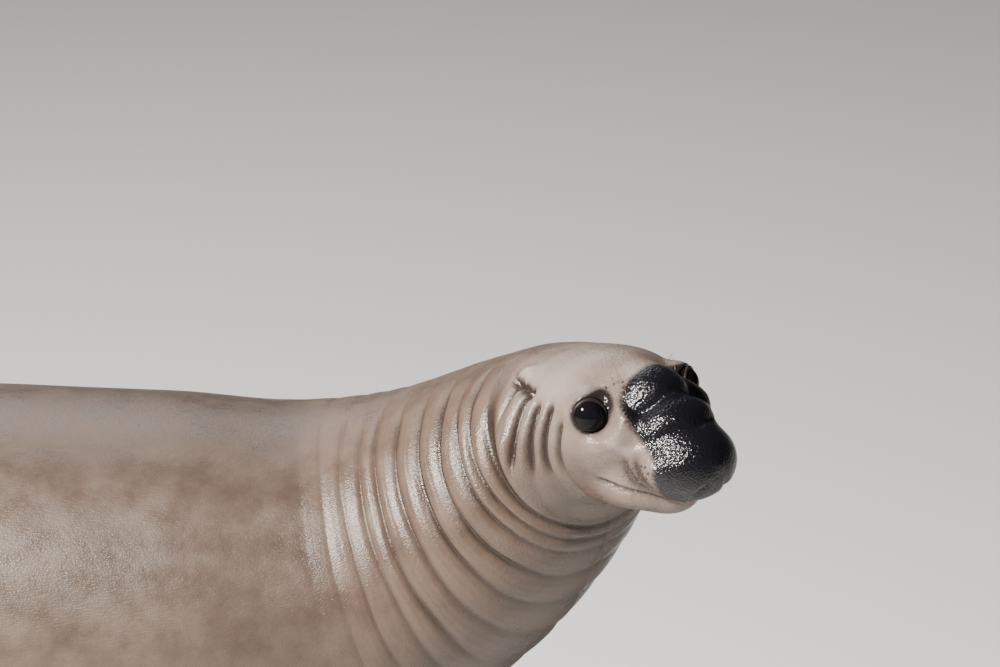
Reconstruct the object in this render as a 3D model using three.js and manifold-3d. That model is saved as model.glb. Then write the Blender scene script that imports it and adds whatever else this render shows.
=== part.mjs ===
// A male elephant seal swimming with its head raised and turned to its right, life size, on a display stand.
// Millimetres, +Z up, +X from the tail to the head, +Y to the animal's left.
// The origin is the centre of the underside of the stand's base.

import * as THREE from "three";
import { mergeVertices } from "three/addons/utils/BufferGeometryUtils.js";
import Module from "manifold-3d";

const wasm = await Module();
wasm.setup();

// Driving dimensions. Places along the body are distances from the tip of the tail.
const GAP = 0.3;
const TAIL_X = -1900;
const SPINE_HEIGHT = 880;
const TAIL_DROP = 90;
const TAIL_DROP_ENDS = 1500;
const TAIL_END = 125;
const HIP_END = 1000;
const TORSO_END = 2760;
const NECK_END = 3400;
const EYES_AT = 3590;
const NECK_PITCH = (38 * Math.PI) / 180;
const HEAD_PITCH = (4 * Math.PI) / 180;
const HEAD_YAW = (50 * Math.PI) / 180;
const EYE_ABOVE_SPINE = 50;
const NOSE_AXIS = -78;
const AROUND = 40;

// The trunk: half width, and reach above and below the spine.
const TRUNK = [
  { at: 0, wide: 30, up: 10, down: 10 },
  { at: 60, wide: 42, up: 15, down: 15 },
  { at: 125, wide: 50, up: 27, down: 27 },
  { at: 200, wide: 84, up: 72, down: 70 },
  { at: 320, wide: 132, up: 112, down: 118 },
  { at: 600, wide: 212, up: 168, down: 205 },
  { at: 1000, wide: 308, up: 208, down: 322 },
  { at: 1500, wide: 396, up: 240, down: 448 },
  { at: 2100, wide: 438, up: 254, down: 548 },
  { at: 2500, wide: 420, up: 244, down: 535 },
  { at: 2760, wide: 364, up: 216, down: 470 },
  { at: 3000, wide: 302, up: 188, down: 372 },
  { at: 3200, wide: 252, up: 168, down: 288 },
  { at: 3350, wide: 212, up: 141, down: 222 },
  { at: 3450, wide: 178, up: 122, down: 184 },
  { at: 3540, wide: 132, up: 130, down: 152 },
  { at: 3590, wide: 98, up: 131, down: 134 },
  { at: 3660, wide: 66, up: 76, down: 96 },
  { at: 3710, wide: 44, up: 34, down: 50 },
  { at: 3770, wide: 2, up: 2, down: 2 },
  { at: 3830, wide: 1, up: 1, down: 1 },
];

// The folds round the neck.
const NECK_FOLDS = [2800, 2860, 2920, 2980, 3030, 3100, 3175, 3245, 3305, 3340, 3380];
const FOLD_DEPTH = 11;

// The eyes, in the head's frame: forward, to the side and up from the point midway between them.
const EYE = { forward: -13, side: 109, up: -3, radius: 34 };
const EYE_AXIS = new THREE.Vector3(0.82, 0.54, 0.18).normalize();
const LID = { out: 19, radius: 30, thick: 7 };

// The rounded masses of the head, in its frame: centre, radii, and how softly each joins the rest.
// The ones with a side lie on both sides of the head.
const MASSES = [
  { part: "cheek", at: [-62, 76, -52], size: [112, 72, 88], soft: 40 },
  { part: "orbit", at: [-22, 101, -8], size: [44, 37, 38], soft: 20 },
  { part: "face_side", at: [28, 86, -18], size: [52, 34, 38], soft: 34 },
  { part: "muzzle", at: [58, 0, -58], size: [118, 88, 70], soft: 34 },
  { part: "whisker_pad", at: [104, 50, -84], size: [64, 50, 46], soft: 16 },
  { part: "jaw_side", at: [0, 46, -136], size: [100, 52, 54], soft: 26 },
  { part: "chin", at: [62, 0, -152], size: [72, 60, 46], soft: 22 },
  { part: "nose_upper", at: [26, 0, 5], size: [78, 72, 64], soft: 12 },
  { part: "nose_middle", at: [96, 0, -28], size: [57, 78, 54], soft: 12 },
  { part: "nose_lower", at: [130, 0, -86], size: [82, 88, 70], soft: 16 },
];
const NOSE_TIP = 213;
const NOSE_ROUNDS_FROM = 130;

// Where the nose is parted from the head: a slanting plane through two points of the profile.
const NOSE_CUT_TOP = { forward: 6, up: 70 };
const NOSE_CUT_FOOT = { forward: 146, up: -112 };

// The mouth: the line of the lips from the corner forward, and the throat line behind the jaw.
const LIPS = [[4, -124], [45, -134], [90, -140], [126, -150], [146, -190], [260, -210]];
const JAW_BACK = [[260, -330], [-70, -330], [-38, -220]];
const LIP_GAP = 4;

const NOSTRIL = { forward: 190, side: 30, up: -122, size: [9, 15, 20], tilt: 0.6 };
const EAR = { at: 3424, angle: 0.9, size: [9, 20, 8] };

const smooth = (from, to, x) => {
  const t = Math.min(1, Math.max(0, (x - from) / (to - from)));
  return t * t * (3 - 2 * t);
};

// A curve through given places that never overshoots them: cubic pieces with harmonic mean slopes.
function through(places, values) {
  const steps = values.slice(1).map((v, i) => (v - values[i]) / (places[i + 1] - places[i]));
  const slopes = values.map((_, i) => {
    const before = steps[Math.max(0, i - 1)];
    const after = steps[Math.min(steps.length - 1, i)];
    return before * after > 0 ? (2 * before * after) / (before + after) : 0;
  });
  return (x) => {
    let i = places.length - 2;
    while (i > 0 && x < places[i]) i -= 1;
    const span = places[i + 1] - places[i];
    const t = Math.min(1, Math.max(0, (x - places[i]) / span));
    const rise = t * t * (3 - 2 * t);
    return (
      values[i] * (1 - rise) +
      values[i + 1] * rise +
      span * (t * (1 - t) ** 2 * slopes[i] - t * t * (1 - t) * slopes[i + 1])
    );
  };
}
const stations = TRUNK.map((row) => row.at);
const halfWidth = through(stations, TRUNK.map((row) => row.wide));
const reachUp = through(stations, TRUNK.map((row) => row.up));
const reachDown = through(stations, TRUNK.map((row) => row.down));

// The spine runs level through the trunk, climbs along the neck and turns to the animal's right.
const STEP = 5;
const pitchAt = (s) =>
  NECK_PITCH * (smooth(2480, 3280, s) - smooth(3300, 3560, s)) +
  HEAD_PITCH * smooth(3300, 3560, s);
const yawAt = (s) => HEAD_YAW * smooth(2700, 3480, s);
function spineTable() {
  const points = [new THREE.Vector3(TAIL_X, 0, SPINE_HEIGHT)];
  for (let s = STEP / 2; s < 3900; s += STEP) {
    const ahead = axesFrom(pitchAt(s), yawAt(s)).ahead;
    points.push(points.at(-1).clone().addScaledVector(ahead, STEP));
  }
  return points;
}
function axesFrom(pitch, yaw) {
  const ahead = new THREE.Vector3(
    Math.cos(pitch) * Math.cos(yaw),
    -Math.cos(pitch) * Math.sin(yaw),
    Math.sin(pitch),
  );
  const left = new THREE.Vector3(Math.sin(yaw), Math.cos(yaw), 0);
  return { ahead, left, up: ahead.clone().cross(left) };
}
const SPINE = spineTable();
function frameAt(s) {
  const i = Math.min(SPINE.length - 2, Math.floor(s / STEP));
  const point = SPINE[i].clone().lerp(SPINE[i + 1], s / STEP - i);
  const drop = Math.max(0, 1 - s / TAIL_DROP_ENDS);
  point.z -= TAIL_DROP * drop * drop;
  return { point, ...axesFrom(pitchAt(s), yawAt(s)) };
}
const HEAD = frameAt(EYES_AT);
HEAD.point.addScaledVector(HEAD.up, EYE_ABOVE_SPINE);
const headPoint = (forward, side, up) =>
  HEAD.point
    .clone()
    .addScaledVector(HEAD.ahead, forward)
    .addScaledVector(HEAD.left, side)
    .addScaledVector(HEAD.up, up);
const headMatrix = () =>
  new THREE.Matrix4().makeBasis(HEAD.ahead, HEAD.left, HEAD.up).setPosition(HEAD.point);

// Two distances joined softly: the nearer one, rounded where they are within `soft` of each other.
function blend(a, b, soft) {
  const h = Math.max(soft - Math.abs(a - b), 0) / soft;
  return Math.min(a, b) - (h * h * soft) / 4;
}
// The rough distance from a point to an ellipsoid, less than nothing inside it.
function fromMass(mass, f, side, u) {
  const x = f - mass.at[0];
  const y = Math.abs(side) - mass.at[1];
  const z = u - mass.at[2];
  const [a, b, c] = mass.size;
  const near = Math.hypot(x / a, y / b, z / c);
  const slope = Math.hypot(x / (a * a), y / (b * b), z / (c * c));
  return slope > 0 ? (near * (near - 1)) / slope : -Math.min(a, b, c);
}

// The folds deepen towards the head, and are shallow over the back.
const foldShare = (s, angle) => {
  const along = 0.1 + 0.9 * smooth(NECK_FOLDS[0] - 30, NECK_FOLDS[5], s);
  const side = (1 - Math.cos(angle)) / 2;
  const rightSide = 0.8 - 0.2 * Math.sin(angle);
  return along * (0.2 + 0.8 * smooth(0, 0.15, side)) * rightSide;
};

// The trunk's radius at an angle from straight up, as an ellipse round the middle of the section.
function trunkRadius(s, angle) {
  const high = (reachUp(s) + reachDown(s)) / 2;
  const wide = halfWidth(s);
  return 1 / Math.hypot(Math.sin(angle) / wide, Math.cos(angle) / high);
}
function sectionMiddle(s) {
  const trunkMiddle = (reachUp(s) - reachDown(s)) / 2;
  return trunkMiddle + (NOSE_AXIS + EYE_ABOVE_SPINE - trunkMiddle) * smooth(3450, 3740, s);
}
// The radius where the ray leaves the blended head, found by halving.
function headRadius(s, angle, middle) {
  const forward = s - EYES_AT;
  const trunk = trunkRadius(s, angle);
  const depth = (radius) => {
    const side = radius * Math.sin(angle);
    const up = middle - EYE_ABOVE_SPINE + radius * Math.cos(angle);
    return MASSES.reduce(
      (sofar, mass) => blend(sofar, fromMass(mass, forward, side, up), mass.soft),
      radius - trunk,
    );
  };
  let inside = 0;
  let outside = 330;
  for (let i = 0; i < 18; i += 1) {
    const half = (inside + outside) / 2;
    if (depth(half) < 0) inside = half;
    else outside = half;
  }
  return inside;
}
const HEAD_FORMS_FROM = 3400;
const bareRadius = (s, angle) =>
  s > HEAD_FORMS_FROM ? headRadius(s, angle, sectionMiddle(s)) : trunkRadius(s, angle);
function surfacePoint(s, angle) {
  const frame = frameAt(s);
  const radius = bareRadius(s, angle);
  return frame.point
    .addScaledVector(frame.left, radius * Math.sin(angle))
    .addScaledVector(frame.up, sectionMiddle(s) + radius * Math.cos(angle));
}
function bodyRing(s, { groove = 0, grow = 0 } = {}) {
  const frame = frameAt(s);
  const middle = sectionMiddle(s);
  const tailEnd = s < 40 ? Math.sqrt(1 - (1 - s / 40) ** 2) : 1;
  return Array.from({ length: AROUND }, (_, i) => {
    const angle = (2 * Math.PI * i) / AROUND;
    const radius = bareRadius(s, angle) * tailEnd - groove * FOLD_DEPTH * foldShare(s, angle) + grow;
    return frame.point
      .clone()
      .addScaledVector(frame.left, radius * Math.sin(angle))
      .addScaledVector(frame.up, middle + radius * Math.cos(angle));
  });
}

// A closed surface through rings of points, with each end closed to a middle point.
function loft(rings, startPole, endPole) {
  const around = rings[0].length;
  const middleOf = (ring) =>
    ring.reduce((sum, p) => sum.add(p), new THREE.Vector3()).divideScalar(ring.length);
  const points = [startPole ?? middleOf(rings[0]), ...rings.flat(), endPole ?? middleOf(rings.at(-1))];
  const faces = [];
  const at = (ring, i) => 1 + ring * around + (i % around);
  for (let i = 0; i < around; i += 1) {
    faces.push(0, at(0, i), at(0, i + 1));
    faces.push(points.length - 1, at(rings.length - 1, i + 1), at(rings.length - 1, i));
    for (let r = 0; r + 1 < rings.length; r += 1) {
      faces.push(at(r, i), at(r + 1, i), at(r + 1, i + 1));
      faces.push(at(r, i), at(r + 1, i + 1), at(r, i + 1));
    }
  }
  const geometry = new THREE.BufferGeometry().setFromPoints(points);
  return geometry.setIndex(faces);
}
// A geometry as a solid that can be cut and joined. A loft whose rings turn the other way is turned round.
function solid(geometry) {
  const bare = geometry.clone();
  bare.deleteAttribute("normal");
  bare.deleteAttribute("uv");
  const merged = mergeVertices(bare, 1e-3);
  const triVerts = new Uint32Array(merged.index.array);
  const position = merged.attributes.position;
  let volume = 0;
  const [a, b, c] = [new THREE.Vector3(), new THREE.Vector3(), new THREE.Vector3()];
  for (let i = 0; i < triVerts.length; i += 3) {
    a.fromBufferAttribute(position, triVerts[i]);
    b.fromBufferAttribute(position, triVerts[i + 1]);
    c.fromBufferAttribute(position, triVerts[i + 2]);
    volume += a.dot(b.cross(c));
  }
  if (volume < 0)
    for (let i = 0; i < triVerts.length; i += 3)
      [triVerts[i], triVerts[i + 1]] = [triVerts[i + 1], triVerts[i]];
  return new wasm.Manifold(
    new wasm.Mesh({ numProp: 3, vertProperties: new Float32Array(position.array), triVerts }),
  );
}
const largest = (made) =>
  made.decompose().reduce((best, body) => (body.volume() > best.volume() ? body : best));

// Lengths of the body: rows of rings between two places.
const evenly = (from, to, spacing) => {
  const count = Math.max(1, Math.round((to - from) / spacing));
  return Array.from({ length: count + 1 }, (_, i) => from + ((to - from) * i) / count);
};
const ringsAt = (places, grow = 0) => places.map((s) => bodyRing(s, { grow }));
const TAIL_ROWS = [3, 12, 26, 40, 62, 92, TAIL_END];
const HIP_ROWS = [...evenly(TAIL_END + GAP, 320, 39), ...evenly(400, HIP_END, 100)];
const TORSO_ROWS = evenly(HIP_END + GAP, TORSO_END, 126);
const tail = solid(loft(ringsAt(TAIL_ROWS), frameAt(0).point));
const hips = solid(loft(ringsAt(HIP_ROWS)));
const torso = solid(loft(ringsAt(TORSO_ROWS)));

// The same lengths a gap wider and longer, to part the flippers and the rods from the body.
const hipsGrown = solid(loft(ringsAt([TAIL_END - 40, ...HIP_ROWS], GAP)));
const torsoGrown = solid(loft(ringsAt([...TORSO_ROWS, TORSO_END + 60], GAP)));

// The neck's rings lie on the ridges and in the grooves between its folds.
function neckRings() {
  const rings = [bodyRing(TORSO_END + GAP)];
  NECK_FOLDS.forEach((s, i) => {
    rings.push(bodyRing(s, { groove: 1 }));
    rings.push(bodyRing((s + (NECK_FOLDS[i + 1] ?? NECK_END - 4)) / 2));
  });
  rings.push(bodyRing(NECK_END));
  return rings;
}
const neck = solid(loft(neckRings()));

// The whole head: rings from the neck to the tip of the nose, closer together where the nose rounds off.
function headRings() {
  const from = EYES_AT + NOSE_ROUNDS_FROM;
  const rings = ringsAt(evenly(NECK_END + GAP, from, 11.5));
  const reach = EYES_AT + NOSE_TIP - from;
  for (let i = 1; i < 12; i += 1) rings.push(bodyRing(from + reach * Math.sin((i * Math.PI) / 24)));
  return rings;
}
const noseEnd = headPoint(NOSE_TIP, 0, NOSE_AXIS);
let whole = solid(loft(headRings(), null, noseEnd));

const both = [-1, 1];
const eyeAxis = (side) => new THREE.Vector3(EYE_AXIS.x, side * EYE_AXIS.y, EYE_AXIS.z);
const eyeMiddle = (side) => new THREE.Vector3(EYE.forward, side * EYE.side, EYE.up);
const faceAlong = (axis) =>
  new THREE.Matrix4().makeRotationFromQuaternion(
    new THREE.Quaternion().setFromUnitVectors(new THREE.Vector3(0, 0, 1), axis),
  );
function inHead(geometry, turn, place) {
  return solid(
    geometry
      .applyMatrix4(turn)
      .applyMatrix4(new THREE.Matrix4().makeTranslation(place.x, place.y, place.z))
      .applyMatrix4(headMatrix()),
  );
}
const unturned = new THREE.Matrix4();
const scaledBall = (size, across, tall) => new THREE.SphereGeometry(1, across, tall).scale(...size);

// The lids stand round each eye as a thick rim, and the ball sits in a socket behind them.
for (const side of both) {
  const lidPlace = eyeMiddle(side).addScaledVector(eyeAxis(side), LID.out);
  const lid = inHead(
    new THREE.TorusGeometry(LID.radius, LID.thick, 8, 26), faceAlong(eyeAxis(side)), lidPlace);
  whole = whole.add(lid);
}
const eyes = both.map((side) =>
  inHead(new THREE.SphereGeometry(EYE.radius, 20, 12), faceAlong(eyeAxis(side)), eyeMiddle(side)));
for (const side of both) {
  const room = EYE.radius + GAP;
  whole = whole.subtract(
    inHead(new THREE.SphereGeometry(room, 20, 12), faceAlong(eyeAxis(side)), eyeMiddle(side)));
  const mouthOfSocket = eyeMiddle(side).addScaledVector(eyeAxis(side), EYE.radius * 0.95);
  whole = whole.subtract(
    inHead(new THREE.SphereGeometry(LID.radius - 5, 20, 12), faceAlong(eyeAxis(side)), mouthOfSocket));

  // The ear is a small pit with no flap, and the nostrils are slanting slots in the end of the nose.
  const ear = surfacePoint(EAR.at, side * EAR.angle);
  const earPit = scaledBall(EAR.size, 10, 6).applyMatrix4(headMatrix().setPosition(ear));
  whole = whole.subtract(solid(earPit));
  const nostrilTurn = new THREE.Matrix4().makeRotationY(NOSTRIL.tilt);
  whole = whole.subtract(
    inHead(scaledBall(NOSTRIL.size, 12, 8), nostrilTurn,
      new THREE.Vector3(NOSTRIL.forward, side * NOSTRIL.side, NOSTRIL.up)));
}

// The lower jaw is parted from the head along the lips and behind the throat.
function jawPrism(lipDrop, inset) {
  const outline = [
    ...LIPS.map(([f, u]) => [f + inset, u - lipDrop]),
    ...JAW_BACK.map(([f, u]) => [f + inset, u]),
  ];
  const shape = new THREE.Shape(outline.map(([f, u]) => new THREE.Vector2(f, u)));
  const depth = 440;
  const block = new THREE.ExtrudeGeometry(shape, { depth, bevelEnabled: false });
  block.translate(0, 0, -depth / 2).rotateX(Math.PI / 2);
  return inHead(block, unturned, new THREE.Vector3());
}
const jaw = largest(whole.intersect(jawPrism(LIP_GAP, GAP)));
const aboveJaw = whole.subtract(jawPrism(0, 0));

// The nose is parted from the head by a slanting plane.
const cutLine = new THREE.Vector3(
  NOSE_CUT_FOOT.forward - NOSE_CUT_TOP.forward, 0, NOSE_CUT_FOOT.up - NOSE_CUT_TOP.up).normalize();
const cutFacing = HEAD.ahead.clone().multiplyScalar(-cutLine.z).addScaledVector(HEAD.up, cutLine.x);
const cutPlace = cutFacing.dot(headPoint(NOSE_CUT_TOP.forward, 0, NOSE_CUT_TOP.up));
const nose = largest(aboveJaw.trimByPlane(cutFacing.toArray(), cutPlace + GAP / 2));
const head = largest(
  aboveJaw.trimByPlane(cutFacing.clone().negate().toArray(), -(cutPlace - GAP / 2)));

// A flipper: a flat lobe with fingers as ridges, and a scalloped end.
// `share` is the place across it, from -1 at the trailing edge to 1 at the leading edge.
function flipper(form, frame) {
  const ringSize = 26;
  const rows = form.rows;
  const ringAt = (v) => Array.from({ length: ringSize }, (_, i) => {
    const turn = (2 * Math.PI * i) / ringSize;
    const share = Math.cos(turn);
    const finger = Math.cos(share * form.fingers * Math.PI / 2) ** 2;
    const reach = form.length * (form.tip(share) + 0.05 * finger * smooth(0.5, 1, v));
    const along = v < 0 ? form.root * -v : reach * v;
    const place = v < 0 ? -along : along;
    const chord = form.chord(Math.max(0, v)) * share;
    const rim = Math.sqrt(Math.max(0, 1 - v ** 8));
    const full = form.thick(Math.max(0, v)) * Math.abs(Math.sin(turn)) ** 0.8 * Math.sign(Math.sin(turn));
    const ridge = 1 + 0.35 * smooth(0.25, 0.8, v) * (finger - 0.5);
    const thick = full * ridge * rim;
    const bend = form.bend * Math.max(0, v) ** 2;
    return frame.root
      .clone()
      .addScaledVector(frame.along, place)
      .addScaledVector(frame.across, chord + form.sweep * Math.max(0, v) ** 2)
      .addScaledVector(frame.facing, thick + bend);
  });
  return loft(rows.map(ringAt));
}
function flipperFrame(root, along, edgeHint) {
  const out = along.clone().normalize();
  const across = edgeHint.clone().addScaledVector(out, -edgeHint.dot(out)).normalize();
  return { root, along: out, across, facing: out.clone().cross(across) };
}
const FORE = {
  at: 2470, angle: 2.03, length: 400, root: 70, fingers: 5, bend: -46, sweep: -30,
  rows: [-1, 0, 0.2, 0.4, 0.58, 0.74, 0.87, 0.96],
  chord: (v) => 92 - 10 * smooth(0, 0.25, v) + 14 * smooth(0.25, 0.8, v) - 30 * smooth(0.8, 1, v),
  thick: (v) => 34 - 22 * smooth(0, 0.8, v),
  tip: (share) => 0.86 + 0.11 * share,
};
const HIND = {
  at: 232, length: 500, root: 60, fingers: 5, bend: 28, sweep: 0,
  rows: [-1, 0, 0.12, 0.28, 0.46, 0.64, 0.8, 0.91, 0.97],
  chord: (v) => 62 - 4 * smooth(0, 0.2, v) + 128 * smooth(0.1, 1, v) ** 1.2,
  thick: (v) => 42 - 30 * smooth(0, 0.6, v),
  tip: (share) => 0.72 + 0.24 * Math.abs(share) ** 1.5,
};
function foreFrame(side) {
  const frame = frameAt(FORE.at);
  const radius = trunkRadius(FORE.at, FORE.angle) - 10;
  const root = frame.point
    .clone()
    .addScaledVector(frame.left, side * radius * Math.sin(FORE.angle))
    .addScaledVector(frame.up, sectionMiddle(FORE.at) + radius * Math.cos(FORE.angle));
  return flipperFrame(root, new THREE.Vector3(-0.66, side * 0.6, -0.42), new THREE.Vector3(1, 0, 0));
}
function hindFrame(side) {
  const frame = frameAt(HIND.at);
  const root = frame.point.clone().addScaledVector(frame.left, side * 62).addScaledVector(frame.up, -4);
  return flipperFrame(root, new THREE.Vector3(-1, side * 0.24, -0.04), new THREE.Vector3(0, 0, 1));
}

// Five claws lie in line with the fingers of each fore flipper, near its edge, in sockets a gap wider.
const CLAW = { length: 46, radius: 8, from: 0.84 };
function claw(form, frame, finger, grow) {
  const share = (finger * 2) / form.fingers - (form.fingers - 1) / form.fingers;
  const v = CLAW.from;
  const top = form.thick(v) * Math.sqrt(1 - share * share) ** 0.8 + form.bend * v * v;
  const foot = frame.root
    .clone()
    .addScaledVector(frame.along, form.length * (form.tip(share) + 0.05) * v)
    .addScaledVector(frame.across, form.chord(v) * share + form.sweep * v * v)
    .addScaledVector(frame.facing, top - 2);
  const rings = [0, 0.3, 0.6, 0.85, 1].map((t) => {
    const middle = foot
      .clone()
      .addScaledVector(frame.along, CLAW.length * t)
      .addScaledVector(frame.facing, 9 * Math.sin(Math.PI * t * 0.62) - 6 * t);
    const radius = CLAW.radius * (1 - 0.86 * t ** 1.6) + grow;
    return Array.from({ length: 7 }, (_, i) => {
      const turn = (2 * Math.PI * i) / 7;
      return middle
        .clone()
        .addScaledVector(frame.across, radius * Math.cos(turn))
        .addScaledVector(frame.facing, 0.75 * radius * Math.sin(turn));
    });
  });
  const start = foot.clone().addScaledVector(frame.along, -grow);
  const end = foot
    .clone()
    .addScaledVector(frame.along, CLAW.length + 1 + grow)
    .addScaledVector(frame.facing, 9 * Math.sin(Math.PI * 0.62) - 6);
  return solid(loft(rings, start, end));
}

// The stand: a flat base, and two rods that end in the belly's own curve.
const BASE = { long: 1900, wide: 820, thick: 40, corner: 60 };
const ROD = { radius: 36, foot: 75, footThick: 14, tall: 520, places: [-640, 640] };
function standBase() {
  const [l, w, r] = [BASE.long / 2, BASE.wide / 2, BASE.corner];
  const shape = new THREE.Shape();
  shape.moveTo(-l + r, -w);
  shape.lineTo(l - r, -w);
  shape.absarc(l - r, -w + r, r, -Math.PI / 2, 0);
  shape.lineTo(l, w - r);
  shape.absarc(l - r, w - r, r, 0, Math.PI / 2);
  shape.lineTo(-l + r, w);
  shape.absarc(-l + r, w - r, r, Math.PI / 2, Math.PI);
  shape.lineTo(-l, -w + r);
  shape.absarc(-l + r, -w + r, r, Math.PI, 1.5 * Math.PI);
  return new THREE.ExtrudeGeometry(shape, { depth: BASE.thick, bevelEnabled: false, curveSegments: 6 });
}
function standRod(x) {
  const { radius, foot, footThick, tall } = ROD;
  const profile = [[0, 0], [foot, 0], [foot, footThick], [radius, footThick], [radius, tall], [0, tall]]
    .map(([r, h]) => new THREE.Vector2(r, h));
  const rod = new THREE.LatheGeometry(profile, 28).rotateX(Math.PI / 2);
  rod.translate(x, 0, BASE.thick + GAP);
  return largest(solid(rod).subtract(torsoGrown));
}

// Each part as a named mesh with its own material.
const SKIN = { color: 0x5f534a, roughness: 0.42 };
const DARK_SKIN = { color: 0x1c1a1e, roughness: 0.3 };
const group = new THREE.Group();
function show(name, made, look) {
  const mesh = made.getMesh();
  const geometry = new THREE.BufferGeometry()
    .setAttribute("position", new THREE.BufferAttribute(new Float32Array(mesh.vertProperties), 3))
    .setIndex(new THREE.BufferAttribute(new Uint32Array(mesh.triVerts), 1));
  geometry.computeVertexNormals();
  const part = new THREE.Mesh(geometry, new THREE.MeshStandardMaterial({ metalness: 0, ...look }));
  part.name = name;
  group.add(part);
}

const sideName = (side) => (side < 0 ? "right" : "left");
const claws = [];
for (const side of both) {
  const frame = foreFrame(side);
  if (side > 0) frame.facing.negate();
  let fore = solid(flipper(FORE, frame)).subtract(torsoGrown);
  for (let finger = 0; finger < FORE.fingers; finger += 1) {
    claws.push([`claw_${sideName(side)}_${finger + 1}`, claw(FORE, frame, finger, 0)]);
    fore = fore.subtract(claw(FORE, frame, finger, GAP));
  }
  show(`fore_flipper_${sideName(side)}`, largest(fore), SKIN);

  const hindPlace = hindFrame(side);
  if (side > 0) hindPlace.facing.negate();
  const hind = solid(flipper(HIND, hindPlace)).subtract(hipsGrown);
  show(`hind_flipper_${sideName(side)}`, largest(hind), SKIN);
}
show("tail", tail, SKIN);
show("hips", hips, SKIN);
show("torso", torso, SKIN);
show("neck", neck, SKIN);
show("head", head, SKIN);
show("lower_jaw", jaw, SKIN);
show("nose", nose, DARK_SKIN);
both.forEach((side, i) => show(`eye_${sideName(side)}`, eyes[i], { color: 0x120d0c, roughness: 0.05 }));
for (const [name, made] of claws) show(name, made, { color: 0x2c2623, roughness: 0.35 });
show("stand_base", solid(standBase()), { color: 0x3b2c22, roughness: 0.5 });
const STEEL = { color: 0xb8babd, roughness: 0.3, metalness: 1 };
show("stand_rod_rear", standRod(ROD.places[0]), STEEL);
show("stand_rod_front", standRod(ROD.places[1]), STEEL);

export default group;
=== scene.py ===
"""The looks of a part-grown male elephant seal, a still life-size model on a stand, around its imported
solids. Lengths in the formulas are in millimetres, as in the solids, and become metres where a mesh is
made."""

import bpy
import numpy as np
from math import cos, pi, radians, sin
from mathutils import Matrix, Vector


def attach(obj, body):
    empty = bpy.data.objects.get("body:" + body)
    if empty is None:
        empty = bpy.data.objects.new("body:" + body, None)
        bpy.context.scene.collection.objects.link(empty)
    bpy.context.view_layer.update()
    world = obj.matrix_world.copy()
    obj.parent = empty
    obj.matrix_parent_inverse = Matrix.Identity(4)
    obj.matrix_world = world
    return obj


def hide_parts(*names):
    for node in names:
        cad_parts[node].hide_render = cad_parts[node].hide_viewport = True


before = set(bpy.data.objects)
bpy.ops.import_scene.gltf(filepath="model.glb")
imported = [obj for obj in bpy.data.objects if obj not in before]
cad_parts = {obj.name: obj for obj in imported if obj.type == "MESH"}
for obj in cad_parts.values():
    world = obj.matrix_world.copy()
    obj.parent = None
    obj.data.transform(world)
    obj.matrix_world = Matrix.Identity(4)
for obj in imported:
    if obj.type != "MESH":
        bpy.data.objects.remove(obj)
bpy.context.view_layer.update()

# THE HIDE
# Thick folded skin with short flat hair, bare and black on the nose, and wet all over. It grows in one
# piece over the nose, head, neck, trunk and tail. Here it lies over their parted solids as one closed
# skin, on the same spine, sections and rounded masses.
MM = 0.001
# In the formulas s is a place along the spine from the tail, angle is counted round it from straight up,
# and f, side and u are forward, to the side and up from between the eyes.
TAIL_X, SPINE_HEIGHT, TAIL_DROP, TAIL_DROP_ENDS = -1900, 880, 90, 1500
NECK_PITCH, HEAD_PITCH, HEAD_YAW = radians(38), radians(4), radians(50)
# Where along the spine the neck rises, where it levels off again, and where it turns to the right.
NECK_RISES, NECK_LEVELS, NECK_TURNS = (2480, 3280), (3300, 3560), (2700, 3480)
EYES_AT, EYE_ABOVE_SPINE, NOSE_AXIS, NOSE_TIP = 3590, 50, -78, 213


def smooth(low, high, x):
    """0 below low and 1 above high, with an easy start and end: 3t² - 2t³ of the share t between them."""
    t = np.clip((x - low) / (high - low), 0, 1)
    return t * t * (3 - 2 * t)


def hump(distance, width):
    """1 at no distance, falling away as e to the minus (distance over width) squared."""
    return np.exp(-((distance / width) ** 2))


# Place along the spine, half width, and reach above and below the spine.
TRUNK = np.array([
    (0, 30, 10, 10), (60, 42, 15, 15), (125, 50, 27, 27), (200, 84, 72, 70), (320, 132, 112, 118),
    (600, 212, 168, 205), (1000, 308, 208, 322), (1500, 396, 240, 448), (2100, 438, 254, 548),
    (2500, 420, 244, 535), (2760, 364, 216, 470), (3000, 302, 188, 372), (3200, 252, 168, 288),
    (3350, 212, 141, 222), (3450, 178, 122, 184), (3540, 132, 130, 152), (3590, 98, 131, 134),
    (3660, 66, 76, 96), (3710, 44, 34, 50), (3770, 2, 2, 2), (3830, 1, 1, 1),
], float)


def through(column):
    """A curve through the trunk's stations that never overshoots: a cubic between each two of them, with
    the harmonic mean of the steps on both sides as its slope, as in the solids."""
    places, values = TRUNK[:, 0], TRUNK[:, column]
    steps = np.diff(values) / np.diff(places)
    before, after = np.r_[steps[0], steps], np.r_[steps, steps[-1]]
    same = before * after > 0
    slopes = np.where(same, 2 * before * after / np.where(same, before + after, 1), 0)

    def at(x):
        """The value at x: an easy rise between two stations, and a bend for the slopes at both."""
        i = np.clip(np.searchsorted(places, x, side="right") - 1, 0, len(places) - 2)
        span = places[i + 1] - places[i]
        t = np.clip((x - places[i]) / span, 0, 1)
        rise = t * t * (3 - 2 * t)
        bend = t * (1 - t) ** 2 * slopes[i] - t * t * (1 - t) * slopes[i + 1]
        return values[i] * (1 - rise) + values[i + 1] * rise + span * bend

    return at


half_width, reach_up, reach_down = through(1), through(2), through(3)


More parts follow.
